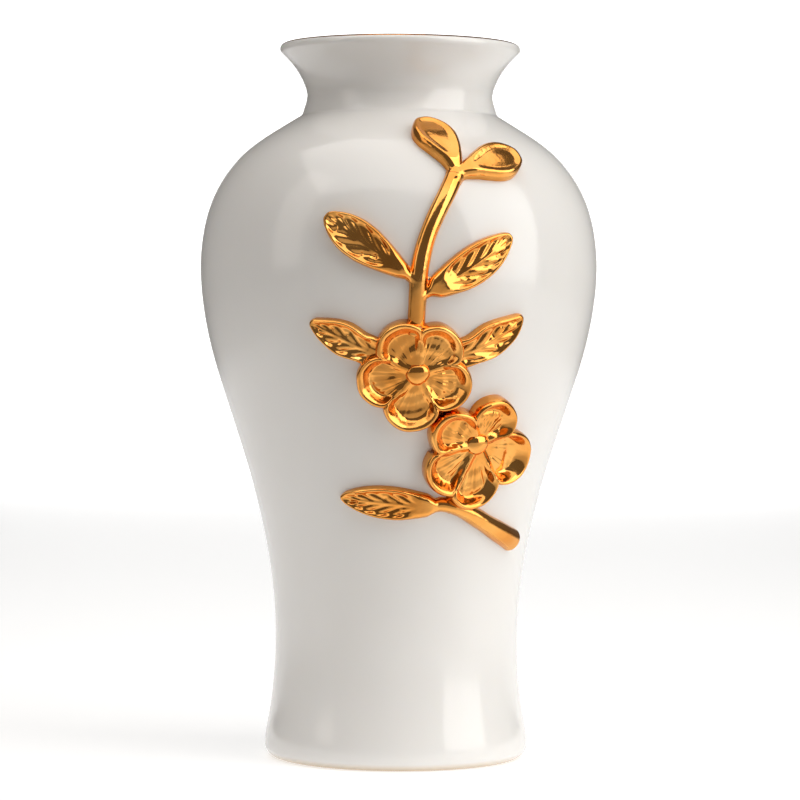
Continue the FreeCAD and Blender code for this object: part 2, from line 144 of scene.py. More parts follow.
STALK_DROP = 0.72  # a stalk's height where it meets its stem, against the leaf's border
STALK_RISE_SHARE = 0.14
BLADE_RISE_SHARE = 0.16
LEAF_TIP_DROP = 0.22
LEAF_TIP_START = 0.7
LEAF_BORDER = 1.15 * MM
LEAF_BORDER_SLOPE = 1.9 * MM
LEAF_BORDER_WAVE = 0.06
LEAF_BORDER_WAVES = 9
LEAF_EDGE_ROUND = 1.5 * MM
STALK_EDGE_EXTRA = 1.6 * MM
LEAF_DISH = 0.42  # how deep the blade lies, as a share of the border's height
LEAF_PAD = 0.75 * MM  # height of the pads between veins
PAD_SWEEP = 0.42  # how far the veins sweep towards the tip
PAD_START = 0.25
PAD_ROUNDNESS = 1.25
PAD_MEAN = 0.45
PADS_MOST = 12
MIDRIB_HEIGHT = 0.3 * MM
MIDRIB_WIDTH = 0.08  # of the half width
MIDRIB_CLEAR = 0.05
MIDRIB_FLANK = 0.2
PIT_COUNT = 5
PIT_DEPTH = 0.5 * MM
PIT_RADIUS = 0.75 * MM

BUD_DISH = 0.16
BUD_NECK_SPAN = 0.12
BUD_TIP_POWER = 0.5
BUD_BLADE_START = 0.16
BUD_RISE_SHARE = 0.3
BUD_NECK_DROP = 0.72
BUD_LEAN = 0.06
BUD_RIM = 1.5 * MM
BUD_RIM_SLOPE = 3.4 * MM
BUD_RIM_LEAN = 0.3
BUD_EDGE_ROUND = 2.7 * MM

PETAL_COLUMNS = 76
PETAL_INNER_ROWS = 54
PETAL_OUTER_ROWS = 34
PETAL_START = 0.1  # a petal's innermost row, as a share of its outline's distance
PETAL_ROLL_START = 0.84
PETAL_SKIRT_ROWS = (1.03, 1.06)
PETAL_SIDE_CROWDING = 0.55  # how much closer the columns lie towards the sides
PETAL_EDGE_WANDER = 0.006
PETAL_RIM = 1.9 * MM
PETAL_RIM_SLOPE = 4.2 * MM
PETAL_EDGE_ROUNDNESS = 0.9
PETAL_SKIRT_SLOPE = 2.0
PETAL_TILT = 0.08
PETAL_RIM_WAVE = 0.03
STEEPEST_OUTLINE = 1.2
SEAM_WIDTH = 2.7 * MM
SEAM_ROOT_HEIGHT = 0.35
SEAM_CREASE = 0.4 * MM
SEAM_CREASE_WIDTH = 0.5 * MM
BOWL_WANDER = 0.45 * MM
PUCKER_DEPTH = 0.3 * MM
FAN_DEPTH = 0.04 * MM
FAN_EDGE = 2.6 * MM
FAN_FADE = 3 * MM
FAN_SEAM_FADE = 2 * MM
# where each of these starts to rise from the petal's root, and over which share
BOWL_WANDER_RISE = (0.3, 0.3)
SEAM_RISE = (0.2, 0.6)
FAN_RISE = (0.2, 0.2)
CREASE_RISE = (0.25, 0.3)
PLEATS = ((41, 1.0), (67, 0.7))  # waves in a full turn, and their size
# waves round the middle, waves outwards, and how far a petal's own tilt shifts them
BOWL_WAVES = (3, 9, 1)
PUCKER_WAVES = ((9, 11, 3), (4, -17, 5))
GRID_ROUNDS = 3

BUTTON_START = 0.02
BUTTON_OVAL = 0.05
BUTTON_THREE_SIDED = 0.03
BUTTON_RADIUS = 4.7 * MM
BUTTON_FOOT = 1.6 * MM
BUTTON_ROWS = 26
BUTTON_COLUMNS = 64

# ---- materials ----
GLAZE_DARK = (0.79, 0.77, 0.74)
GLAZE_LIGHT = (0.825, 0.81, 0.785)
# a darker buff tone that the body's colour turns to towards its bottom edge
BOTTOM_BUFF = (0.62, 0.50, 0.36)
BOTTOM_BUFF_TOP = 3.2 * MM  # the colour is plain glaze from here up, and fully the darker buff below the height on the next line
BOTTOM_BUFF_FULL = 0.6 * MM
GLAZE_ROUGHNESS = (0.13, 0.2)
GOLD_DEEP = (0.77, 0.30, 0.055)
GOLD_BRIGHT = (0.91, 0.44, 0.115)
GOLD_ROUGHNESS = (0.08, 0.17)
# noises: scale in waves a metre, and detail
GLAZE_CLOUD = (9.0, 3.0)
GLAZE_HAZE = (35.0, 4.0)
GLAZE_RIPPLE = (22.0, 1.5)
GOLD_POOL = (70.0, 3.0)
GOLD_WIPE = (260.0, 3.0)
GOLD_DIMPLE = (420.0, 2.0)
STAGE_GRAIN = (3.0, 2.0)
NOISE_LOW, NOISE_HIGH = 0.3, 0.7  # a noise lies mostly between these
# bumps: strength, and depth in metres
GLAZE_BUMP = (0.12, 0.0006)
GOLD_BUMP = (0.25, 0.0002)


def node_points(name):
    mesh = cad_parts[name].data
    points = np.empty(len(mesh.vertices) * 3)
    mesh.vertices.foreach_get("co", points)
    return points.reshape(-1, 3)


def smoothstep(x):
    x = np.clip(x, 0.0, 1.0)
    return x * x * (3 - 2 * x)


def unit(vectors):
    return vectors / np.linalg.norm(vectors, axis=-1, keepdims=True)


def section_points():
    """The body's section (radius, height) in order, from the underside round to the floor."""
    points = node_points("vase_body")
    section = np.column_stack([np.hypot(points[:, 0], points[:, 1]), points[:, 2]])
    keys = np.round(section / POINT_GRID)
    section = section[np.unique(keys, axis=0, return_index=True)[1]]
    roof = section[(section[:, 1] < RECESS_SEARCH_TOP) & (section[:, 1] > RECESS_SEARCH_FOOT)]
    start = roof[np.argmin(np.abs(roof[:, 0] - RECESS_SEARCH_RADIUS))]
    order = [start]
    heading = np.array([1.0, 0.0])
    behind = start
    rest = section[np.any(section != start, axis=1)]
    while len(rest):
        ahead = rest - order[-1]
        gap = np.hypot(*ahead.T)
        straight = ahead @ heading / np.maximum(gap, 1e-9)
        cost = gap * (1 + SECTION_STRAIGHTNESS * (1 - straight))
        nearest = np.argmin(cost)
        if gap[nearest] > SECTION_WIDEST_GAP:
            break
        order.append(rest[nearest])
        rest = np.delete(rest, nearest, axis=0)
        if np.hypot(*(order[-1] - behind)) > SECTION_HEADING_STEP:
            heading = unit(order[-1] - behind)
            behind = order[-1]
    return np.array(order)


def thinned(path):
    """Fewer points along a path: far apart where it is gentle and close where it bends."""
    kept = [path[0]]
    heading = None
    for here, ahead in zip(path[1:-1], path[2:]):
        step = np.hypot(*(here - kept[-1]))
        onward = math.atan2(*(ahead - here))
        if heading is None:
            heading = math.atan2(*(here - kept[-1]))
        turn = abs((onward - heading + math.pi) % (2 * math.pi) - math.pi)
        if step > SECTION_STEP or (turn > SECTION_TURN and step > SECTION_CLOSEST):
            kept.append(here)
            heading = onward
    kept.append(path[-1])
    return np.array(kept)


def flowing(path, count):
    """A path with every stretch divided into count, as a smooth curve through its points."""
    padded = np.vstack([2 * path[0] - path[1], path, 2 * path[-1] - path[-2]])
    knots = np.concatenate([[0], np.cumsum(np.hypot(*np.diff(padded, axis=0).T) ** 0.5)])
    made = []
    for i in range(1, len(padded) - 2):
        t0, t1, t2, t3 = knots[i - 1 : i + 3]
        p0, p1, p2, p3 = padded[i - 1 : i + 3]
        for t in t1 + (t2 - t1) * np.arange(count) / count:
            a1 = p0 + (p1 - p0) * (t - t0) / (t1 - t0)
            a2 = p1 + (p2 - p1) * (t - t1) / (t2 - t1)
            a3 = p2 + (p3 - p2) * (t - t2) / (t3 - t2)
            b1 = a1 + (a2 - a1) * (t - t0) / (t2 - t0)
            b2 = a2 + (a3 - a2) * (t - t1) / (t3 - t1)
            made.append(b1 + (b2 - b1) * (t - t1) / (t2 - t1))
    made.append(path[-1])
    return np.array(made)


class Wall:
    """The outside of the vase, by distance up its outline and angle round from the front."""

    def __init__(self, outline):
        steps = np.hypot(*np.diff(outline, axis=0).T)
        along = np.concatenate([[0], np.cumsum(steps)])
        self.s = np.arange(0, along[-1], WALL_STEP)
        self.r = np.interp(self.s, along, outline[:, 0])
        self.z = np.interp(self.s, along, outline[:, 1])
        for _ in range(WALL_SMOOTHINGS):
            self.r[1:-1] = (self.r[:-2] + 2 * self.r[1:-1] + self.r[2:]) / 4
            self.z[1:-1] = (self.z[:-2] + 2 * self.z[1:-1] + self.z[2:]) / 4
        tangent = unit(np.column_stack([np.gradient(self.r), np.gradient(self.z)]))
        self.tr, self.tz = tangent.T

    def at(self, s, angle):
        """Point and outward direction."""
        r = np.interp(s, self.s, self.r)
        z = np.interp(s, self.s, self.z)
        tr = np.interp(s, self.s, self.tr)
        tz = np.interp(s, self.s, self.tz)
        point = np.stack([r * np.sin(angle), -r * np.cos(angle), z], axis=-1)
        outward = np.stack([tz * np.sin(angle), -tz * np.cos(angle), -tr], axis=-1)
        return point, unit(outward)

    def near(self, points):
        """Nearest place on the wall, and the height above it."""
        angle = np.arctan2(points[..., 0], -points[..., 1])
        rho = np.hypot(points[..., 0], points[..., 1])
        s = np.interp(points[..., 2], self.z, self.s)
        for _ in range(NEAREST_ROUNDS):
            dr = rho - np.interp(s, self.s, self.r)
            dz = points[..., 2] - np.interp(s, self.s, self.z)
            tr = np.interp(s, self.s, self.tr)
            tz = np.interp(s, self.s, self.tz)
            s = np.clip(s + NEAREST_STRIDE * (dr * tr + dz * tz), 0, self.s[-1])
        dr = rho - np.interp(s, self.s, self.r)
        dz = points[..., 2] - np.interp(s, self.s, self.z)
        height = dr * np.interp(s, self.s, self.tz) - dz * np.interp(s, self.s, self.tr)
        return s, angle, height

    def radius(self, s):
        return np.interp(s, self.s, self.r)


def mesh_object(name, points, faces, material, slot_name, *nodes):
    """A new piece of the vase that stands for CAD nodes."""
    mesh = bpy.data.meshes.new(name)
    mesh.from_pydata([tuple(p) for p in points], [], faces)
    mesh.update()
    mesh.shade_smooth()
    mesh.materials.append(material)
    made = bpy.data.objects.new(name, mesh)
    bpy.context.scene.collection.objects.link(made)
    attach(made, "root")
    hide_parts(*nodes)


def turned_faces(rows, segments):
    """Quads between turned rows, and a fan from each end row to its pole on the axis."""
    faces = []
    for i in range(rows - 1):
        for j in range(segments):
            k = (j + 1) % segments
            low, high = i * segments, (i + 1) * segments
            faces.append((low + j, low + k, high + k, high + j))
    first_pole = rows * segments
    for j in range(segments):
        k = (j + 1) % segments
        faces.append((first_pole, k, j))
        faces.append((first_pole + 1, (rows - 1) * segments + j, (rows - 1) * segments + k))
    return faces


def turned_body(section, material):
    """The whole body as one lathed skin, outside and inside."""
    angles = 2 * math.pi * np.arange(BODY_SEGMENTS) / BODY_SEGMENTS
    rows = [
        np.column_stack([r * np.cos(angles), r * np.sin(angles), np.full(BODY_SEGMENTS, z)])
        for r, z in section
    ]
    poles = [[0, 0, section[0, 1]], [0, 0, section[-1, 1]]]
    points = np.vstack(rows + [poles])
    faces = turned_faces(len(section), BODY_SEGMENTS)
    mesh_object("vase_body_turned", points, faces, material, WHITE_SLOT, "vase_body")


def grid_faces(rows, columns):
    """Quads of a sheet and a strip under each row to close it inside the wall."""
    faces = []
    for i in range(rows - 1):
        for j in range(columns - 1):
            a = i * columns + j
            faces.append((a, a + 1, a + columns + 1, a + columns))
        a = i * columns
        b = a + columns - 1
        faces.append((b, a, a + columns, b + columns))
    return faces


def laid_piece(node, base, outward, heights, flip):
    """A modelled piece: heights above a grid of wall places, with its border in the wall."""
    heights[:, [0, -1]] = -SKIRT
    heights[[0, -1], :] = -SKIRT
    rows, columns = heights.shape
    points = (base + outward * heights[..., None]).reshape(-1, 3)
    faces = grid_faces(rows, columns)
    if flip:
        faces = [face[::-1] for face in faces]
    mesh_object(f"{node}_modelled", points, faces, gold, GOLD_SLOT, node)


def rising(share, start, span):
    """0 up to the start, and 1 from the span beyond it."""
    return smoothstep((share - start) / span)


def wander(t, scale):
    """A slow random drift along t, for the unevenness of hand work."""
    total = np.zeros_like(t)
    for k in range(1, WANDER_WAVES + 1):
        total += rng.normal() / k * np.sin(2 * math.pi * k * t + rng.uniform(0, 2 * math.pi))
    return scale * total


def quarter_round(x):
    """0 at the foot of an edge, rising steeply and levelling at 1."""
    x = np.clip(x, 0, 1)
    return np.sqrt(x * (2 - x))


def smooth_max(a, b):
    """The higher of two surfaces, filleted where they cross above the wall."""
    share = np.clip(0.5 + 0.5 * (a - b) / JOINT_BLEND, 0, 1)
    fillet = b + (a - b) * share + JOINT_BLEND * share * (1 - share) - np.maximum(a, b)
    return np.maximum(a, b) + fillet * smoothstep(1 + np.minimum(a, b) / JOINT_FADE)


class Footprint:
    """A CAD piece seen on the wall: places along and across its length, root first.

    Its root is the end nearer to the point `toward`. The middle line leaves out the first
    `skipped` share, where a neighbour cuts the piece, and runs straight there.
    """

    def __init__(self, node, toward, skipped=0.0):
        self.first = skipped
        s, angle, height = wall.near(node_points(node))
        self.s = (s.min() + s.max()) / 2
        self.angle = (angle.min() + angle.max()) / 2
        chart = np.column_stack([(angle - self.angle) * wall.radius(s), s - self.s])
        self.middle = chart.mean(0)
        self.axis = np.linalg.svd(chart - self.middle, full_matrices=False)[2][0]
        ts, ta, _ = wall.near(toward[None, :])
        target = np.array([(ta[0] - self.angle) * wall.radius(ts[0]), ts[0] - self.s])
        if (target - self.middle) @ self.axis > 0:
            self.axis = -self.axis
        self.side = np.array([-self.axis[1], self.axis[0]])
        along = (chart - self.middle) @ self.axis
        across = (chart - self.middle) @ self.side
        self.low = along.min()
        self.length = along.max() - self.low
        self.height = height.max()
        share = (along - self.low) / self.length
        places, centres, halves = [], [], []
        for k in range(STRIP_COUNT):
            inside = (share >= k / STRIP_COUNT) & (share <= (k + 1) / STRIP_COUNT)
            if inside.sum() < STRIP_FEWEST:
                continue
            places.append((k + 0.5) / STRIP_COUNT)
            centres.append((across[inside].max() + across[inside].min()) / 2)
            halves.append((across[inside].max() - across[inside].min()) / 2)
        self.places = np.array(places)
        self.halves = np.array(halves)
        self.centres = np.array(centres)
        used = self.places >= skipped
        self.line = np.polyfit(self.places[used], self.centres[used], MIDDLE_LINE_DEGREE)

    def whole_strips(self):
        """Fit the width and the middle line to the strips that no neighbour cuts into."""
        places, halves, centres = self.places[1:-1], self.halves[1:-1], self.centres[1:-1]
        whole = halves >= np.polyval(np.polyfit(places, halves, 1), places)
        width = np.polyfit(places[whole], halves[whole], 1)
        whole = halves > np.polyval(width, places) - WHOLE_STRIP_SLACK
        self.line = np.polyfit(places[whole], centres[whole], MIDDLE_LINE_DEGREE)
        return width

    def reaching(self, rows, root_extra, tip_extra):
        """Shares of the length from a little beyond the root to a little beyond the tip."""
        return np.linspace(-root_extra / self.length, 1 + tip_extra / self.length, rows)

    def path(self, share):
        """Places on the wall along the middle line, going on straight beyond its ends."""
        held = np.clip(share, self.first, 1)
        slope = np.polyval(np.polyder(self.line), held)
        across = np.polyval(self.line, held) + slope * (share - held)
        along = self.low + share * self.length
        chart = self.middle + along[:, None] * self.axis + across[:, None] * self.side
        s = chart[:, 1] + self.s
        return s, chart[:, 0] / wall.radius(s) + self.angle

    def half_widths(self, share, root_half, root_span, end_power):
        """Half width along the length, with a stalk at the root and a closing tip."""
        last = 1 - TIP_SHARE
        inner = np.interp(share, self.places, self.halves)
        for _ in range(WIDTH_SMOOTHINGS):
            inner[1:-1] = (inner[:-2] + inner[1:-1] + inner[2:]) / 3
        at_last = np.interp(last, self.places, self.halves)
        closing = at_last * (np.clip(1 - share, 0, TIP_SHARE) / TIP_SHARE) ** end_power
        half = np.where(share > last, closing, inner)
        root = smoothstep((share - ROOT_START_SHARE) / root_span)
        half = np.maximum(root_half + (half - root_half) * root, NARROWEST_HALF)
        return half * np.where(share > 1, BEYOND_TIP_WIDTH, 1)


class Ridge:
    """A length of stem, leaf or bud: a line on the wall with widths and a height rule."""

    def __init__(self, node, footprint, share, half, rule):
        self.node = node
        self.share = share
        self.half = half
        self.length = footprint.length
        self.rule = rule
        self.centre, outward = wall.at(*footprint.path(share))
        self.tangent = unit(np.gradient(self.centre, axis=0))
        self.side = unit(np.cross(outward, self.tangent))

    def place(self, points):
        """Share of the length and offset across for wall points."""
        flat = points.reshape(-1, 3)
        gap = ((flat[:, None, :] - self.centre[None, :, :]) ** 2).sum(-1)
        nearest = gap.argmin(1)
        away = flat - self.centre[nearest]
        along = (away * self.tangent[nearest]).sum(-1)
        share = self.share[nearest] + along / self.length
        across = (away * self.side[nearest]).sum(-1)
        return share.reshape(points.shape[:-1]), across.reshape(points.shape[:-1])

    def heights(self, share, across):
        """Height above the wall, which is below 0 beyond the outline."""
        half = np.interp(share, self.share, self.half)
        beyond_end = np.maximum(share - self.share[-1], self.share[0] - share) * self.length
        reach = np.where(beyond_end > 0, np.hypot(across, beyond_end), np.abs(across))
        q = np.where(beyond_end > 0, reach, across) / np.maximum(half, TINY)
        inside = self.rule(np.clip(share, 0, 1), np.clip(q, -1, 1), half)
        outside = -np.minimum(SKIRT, SKIRT_SLOPE * (reach - half))
        return np.where(reach < half, np.maximum(inside, 0), outside)

    def lay(self, neighbours):
        """Make the piece, filleted into the neighbours that it runs together with."""
        x = np.linspace(-1, 1, RIDGE_COLUMNS)
        beside = np.array(EDGE_MARGINS)
        ones = np.ones(len(beside))
        q = np.concatenate([-ones, np.sin(0.5 * math.pi * x), ones])
        margin = np.concatenate([-beside[::-1], np.zeros(RIDGE_COLUMNS), beside]) * MM
        offset = self.half[:, None] * q[None, :] + margin[None, :]
        points = self.centre[:, None, :] + self.side[:, None, :] * offset[..., None]
        s, angle, _ = wall.near(points)
        base, outward = wall.at(s, angle)
        share = self.share[:, None] * np.ones_like(offset)
        own = self.heights(share, offset)
        total = own
        for other in neighbours:
            theirs = other.heights(*other.place(base))
            sunk = JOINT_GAP * smoothstep((theirs - own) / JOINT_GAP_SPAN)
            total = smooth_max(total, theirs) - sunk
        laid_piece(self.node, base, outward, total, flip=True)


def stem_ridge(node, toward, root_extra, end_extra, cut_end, root_taper):
    """A half-round length of stem, with its ends rounded off where they are cut."""
    footprint = Footprint(node, toward)
    width = footprint.whole_strips()
    share = footprint.reaching(STEM_ROWS, root_extra, end_extra)
    clipped = np.clip(share, 0, 1)
    half = np.polyval(width, clipped) * (1 + wander(clipped, STEM_WIDTH_WANDER))
    taper = 1 - smoothstep(clipped / ROOT_TAPER_SHARE)
    half = half * (1 - ROOT_NARROWING * root_taper * taper)
    first, last = share[0], share[-1]
    if cut_end:
        end_gap = np.minimum(last - share, share - first) * footprint.length
        half = half * (CUT_WIDTH + (1 - CUT_WIDTH) * quarter_round(end_gap / CUT_WIDTH_ROUND))
    uneven = wander(WANDER_PLACES, STEM_HEIGHT_WANDER)

    def rule(t, q, half):
        top = footprint.height * (1 + np.interp(t, WANDER_PLACES, uneven))
        top = top * (1 - root_taper * (1 - smoothstep(t / ROOT_TAPER_SHARE)))
        if cut_end:
            gap = np.minimum(last - t, t - first) * footprint.length
            top = top * (CUT_HEIGHT + (1 - CUT_HEIGHT) * quarter_round(gap / CUT_HEIGHT_ROUND))
        return top * quarter_round(1 - np.abs(q)) ** BACK_ROUNDNESS

    return Ridge(node, footprint, share, half, rule)


def edge_distance(t, q, half, length):
    """Distance in from the outline of a leaf or bud."""
    sideways = half * (1 - np.abs(q))
    onward = (1 - t) * length
    return (np.maximum(sideways, TINY) ** -3.0 + np.maximum(onward, TINY) ** -3.0) ** (-1 / 3)


def leaf_ridge(
    node, toward, root_extra, stalk_half, root_span, blade_start, pads, blunt, skipped=0.0
):
    """A leaf with a rounded border, a sunken blade, a midrib, padded veins and small pits.

    It starts root_extra beyond its CAD root. Its stalk widens from stalk_half over the share
    root_span, its blade starts at the share blade_start and has `pads` pads a side, and
    `blunt` is the power by which its tip closes.
    """
    footprint = Footprint(node, toward, skipped)
    share = footprint.reaching(BLADE_ROWS, root_extra, TIP_EXTRA)
    half = footprint.half_widths(share, stalk_half, root_span, blunt)
    pad_shift = rng.uniform(-0.12, 0.12, 2)
    pad_size = rng.uniform(0.65, 1.1, (2, PADS_MOST))
    pits = [
        (rng.uniform(0.3, 0.9), rng.choice([-1, 1]) * rng.uniform(0.2, 0.5))
        for _ in range(PIT_COUNT)
    ]

    def rule(t, q, half):
        inward = edge_distance(t, q, half, footprint.length)
        blade = smoothstep((t - blade_start) / BLADE_RISE_SHARE)
        closing = smoothstep((t - LEAF_TIP_START) / (1 - LEAF_TIP_START))
        top = footprint.height * (1 - LEAF_TIP_DROP * closing)
        risen = smoothstep((t - ROOT_START_SHARE) / STALK_RISE_SHARE)
        top = top * (STALK_DROP + (1 - STALK_DROP) * risen)
        field = smoothstep((inward - LEAF_BORDER) / LEAF_BORDER_SLOPE) * blade
        border = top * (1 + LEAF_BORDER_WAVE * np.sin(LEAF_BORDER_WAVES * t))
        height = border - field * LEAF_DISH * top
        local = (t - blade_start) / (1 - blade_start)
        upper = (q > 0).astype(int)
        phase = pads * (local - PAD_SWEEP * np.abs(q)) + PAD_START + pad_shift[upper]
        index = np.clip(np.floor(phase).astype(int), 0, PADS_MOST - 1)
        swell = np.abs(np.sin(math.pi * phase)) ** PAD_ROUNDNESS * pad_size[upper, index]
        away = smoothstep((np.abs(q) - MIDRIB_CLEAR) / MIDRIB_FLANK)
        height = height + field * away * LEAF_PAD * (swell - PAD_MEAN)
        height = height + field * MIDRIB_HEIGHT * np.exp(-((q / MIDRIB_WIDTH) ** 2))
        for at, side in pits:
            gap = ((t - at) * footprint.length) ** 2 + ((q - side) * half) ** 2
            height = height - field * PIT_DEPTH * np.exp(-gap / PIT_RADIUS**2)
        return height * quarter_round(inward / (LEAF_EDGE_ROUND + STALK_EDGE_EXTRA * (1 - blade)))

    return Ridge(node, footprint, share, half, rule)


def bud_ridge(node, toward, root_extra, neck_half, lean):
    """A bud with a thick rolled edge round a shallow dish, on a short neck."""
    footprint = Footprint(node, toward)
    share = footprint.reaching(BLADE_ROWS, root_extra, TIP_EXTRA)
    half = footprint.half_widths(share, neck_half, BUD_NECK_SPAN, BUD_TIP_POWER)

    def rule(t, q, half):
        inward = edge_distance(t, q, half, footprint.length)
        blade = smoothstep((t - BUD_BLADE_START) / BUD_RISE_SHARE)
        risen = BUD_NECK_DROP + (1 - BUD_NECK_DROP) * smoothstep(t / BUD_RISE_SHARE)
        top = footprint.height * (1 + BUD_LEAN * lean * q) * risen
        slope = BUD_RIM_SLOPE * (1 - BUD_RIM_LEAN * lean * q)
        field = smoothstep((inward - BUD_RIM) / slope) * blade
        height = top - field * BUD_DISH * top
        return height * quarter_round(inward / BUD_EDGE_ROUND)

    return Ridge(node, footprint, share, half, rule)


class FlowerMiddle:
    """A flower's middle on the wall, with its height and its level and upward directions."""

    def __init__(self, centre_node):
        s, angle, height = wall.near(node_points(centre_node))
        s_mid = (s.min() + s.max()) / 2
        a_mid = (angle.min() + angle.max()) / 2
        point, outward = wall.at(np.array([s_mid]), np.array([a_mid]))
        self.point = point[0]
        self.level = np.array([math.cos(a_mid), math.sin(a_mid), 0.0])
        self.upward = np.cross(self.level, outward[0])
        if self.upward[2] < 0:
            self.upward = -self.upward
        self.height = height.max()

    def polar(self, base):
        """Distance and heading of wall places from the middle."""
        gap = base - self.point
        return np.linalg.norm(gap, axis=-1), np.arctan2(gap @ self.upward, gap @ self.level)

    def grid(self, radii, headings):
        """Wall places at straight-line distances and headings from the middle."""
        ray = np.cos(headings)[..., None] * self.level + np.sin(headings)[..., None] * self.upward
        s, angle, _ = wall.near(self.point + ray * radii[..., None])
        base, outward = wall.at(s, angle)
        for _ in range(GRID_ROUNDS):
            reach = np.linalg.norm(base - self.point, axis=-1)
            factor = radii / np.maximum(reach, 1e-9)
            s, angle, _ = wall.near(self.point + (base - self.point) * factor[..., None])
            base, outward = wall.at(s, angle)
        return base, outward


def petal_outline(node, middle):
    """First and last heading of a CAD petal, its outline between them and its height."""
    s, angle, height = wall.near(node_points(node))
    base, _ = wall.at(s, angle)
    radius, heading = middle.polar(base)
    far = radius > PETAL_FAR_SHARE * radius.max()
    mean = math.atan2(np.sin(heading[far]).mean(), np.cos(heading[far]).mean())
    turned = (heading - mean + math.pi) % (2 * math.pi) - math.pi
    ring = (radius > PETAL_EDGE_RING[0]) & (radius < PETAL_EDGE_RING[1])
    low, high = turned[ring].min(), turned[ring].max()
    psi = (turned - low) / (high - low) * 2 - 1
    places, reaches = [], []
    for k in range(STRIP_COUNT):
        start = -1 + 2 * k / STRIP_COUNT
        inside = (psi >= start) & (psi <= start + 2 / STRIP_COUNT)
        if inside.sum() < PETAL_STRIP_FEWEST:
            continue
        places.append(start + 1 / STRIP_COUNT)
        reaches.append(radius[inside].max())
    curve = np.polyfit(places, reaches, PETAL_OUTLINE_DEGREE)
    return mean + low, mean + high, curve, height.max()


def petal_grid():
    """Columns from side to side (-1 to 1) and rows from the root out (1 is the outline)."""
    x = np.linspace(-1, 1, PETAL_COLUMNS)
    crowded = PETAL_SIDE_CROWDING * np.sin(0.5 * math.pi * x)
    columns = np.concatenate([[-1.0], crowded + (1 - PETAL_SIDE_CROWDING) * x, [1.0]])
    inner = np.linspace(PETAL_START, PETAL_ROLL_START, PETAL_INNER_ROWS)
    turn = 0.5 * math.pi * np.linspace(0.03, 1, PETAL_OUTER_ROWS)
    outer = PETAL_ROLL_START + (1 - PETAL_ROLL_START) * np.sin(turn)
    return columns, np.concatenate([[PETAL_START], inner, outer, PETAL_SKIRT_ROWS])


def petal_relief(across, headings, share, inward, seam_gap, rim, seam_rise, dish, tilt):
    """Heights of a petal: a bowl, a thick rolled rim, a seam at each side and fine folds."""

    def waves(around, outwards, shift):
        return np.sin(around * headings + outwards * share + shift * tilt)

    bowl = dish + BOWL_WANDER * waves(*BOWL_WAVES) * rising(share, *BOWL_WANDER_RISE)
    at_rim = 1 - smoothstep((inward - PETAL_RIM) / PETAL_RIM_SLOPE)
    ridge = 1 - smoothstep(seam_gap / SEAM_WIDTH)
    seam_height = SEAM_ROOT_HEIGHT + (1 - SEAM_ROOT_HEIGHT) * rising(share, *SEAM_RISE)
    ridge_top = seam_rise * seam_height
    rise = 1 - (1 - at_rim) * (1 - ridge * ridge_top)
    top = rim * (1 + tilt * across * PETAL_TILT) * (1 - PETAL_RIM_WAVE * np.cos(5 * across))
    height = bowl + (np.minimum(top, rim) - bowl) * rise
    pleats = sum(
        size * np.sin(headings * around + rng.uniform(0, 6)) for around, size in PLEATS
    )
    puckers = waves(*PUCKER_WAVES[0]) * waves(*PUCKER_WAVES[1])
    window = rising(share, *FAN_RISE) * smoothstep((inward - FAN_EDGE) / FAN_FADE)
    height = height + PUCKER_DEPTH * puckers * window
    height = height + FAN_DEPTH * pleats * window * smoothstep(seam_gap / FAN_SEAM_FADE)
    crease = np.exp(-((seam_gap / SEAM_CREASE_WIDTH) ** 2)) * rising(share, *CREASE_RISE)
    height = height - SEAM_CREASE * crease
    height = height * quarter_round(inward / PETAL_RIM) ** PETAL_EDGE_ROUNDNESS
    return np.where(inward < 0, -np.minimum(SKIRT, -PETAL_SKIRT_SLOPE * inward), height)


def make_petal(node, middle, seam_rise, dish, tilt):
    """A cupped petal that fills the outline of its CAD node."""
    first, last, curve, rim = petal_outline(node, middle)
    half_angle = (last - first) / 2
    heading_mid = (last + first) / 2
    psi, rho = petal_grid()
    outline = np.polyval(curve, psi) * (1 + wander(psi / 2, PETAL_EDGE_WANDER))
    radii = outline[None, :] * rho[:, None]
    across = psi[None, :] * np.ones_like(radii)
    headings = heading_mid + half_angle * across
    base, outward = middle.grid(radii, headings)
    seam_gap = radii * np.sin(np.clip(half_angle * (1 - np.abs(across)), 0, math.pi / 2))
    slope = np.polyval(np.polyder(curve), psi) / half_angle / outline
    lean_in = 1 / np.sqrt(1 + np.clip(slope, -STEEPEST_OUTLINE, STEEPEST_OUTLINE) ** 2)
    inward = (outline[None, :] - radii) * lean_in[None, :]
    share = radii / outline.max()
    height = petal_relief(
        across, headings, share, inward, seam_gap, rim, seam_rise, dish, tilt
    )
    laid_piece(node, base, outward, height, flip=False)


def make_button(node, middle):
    """The small domed button in a flower's middle."""
    rows, columns = BUTTON_ROWS, BUTTON_COLUMNS
    rho = np.sin(0.5 * math.pi * np.linspace(BUTTON_START, 1, rows))
    headings = 2 * math.pi * np.arange(columns) / columns
    wobble = 1 + BUTTON_OVAL * np.sin(2 * headings + 0.7)
    wobble = wobble + BUTTON_THREE_SIDED * np.sin(3 * headings)
    radii = rho[:, None] * BUTTON_RADIUS * wobble[None, :]
    base, outward = middle.grid(radii, headings[None, :] * np.ones_like(radii))
    dome = quarter_round(1 - rho[:, None]) * np.ones_like(radii)
    heights = BUTTON_FOOT + (middle.height - BUTTON_FOOT) * dome
    heights[-1, :] = -SKIRT
    points = (base + outward * heights[..., None]).reshape(-1, 3)
    faces = []
    for i in range(rows - 1):
        for j in range(columns):
            k = (j + 1) % columns
            near, far = i * columns, (i + 1) * columns
            faces.append((near + j, far + j, far + k, near + k))
    faces.append(tuple(range(columns)))
    faces.append(tuple(range((rows - 1) * columns, rows * columns))[::-1])
    mesh_object(f"{node}_modelled", points, faces, gold, GOLD_SLOT, node)


# ---- materials ----


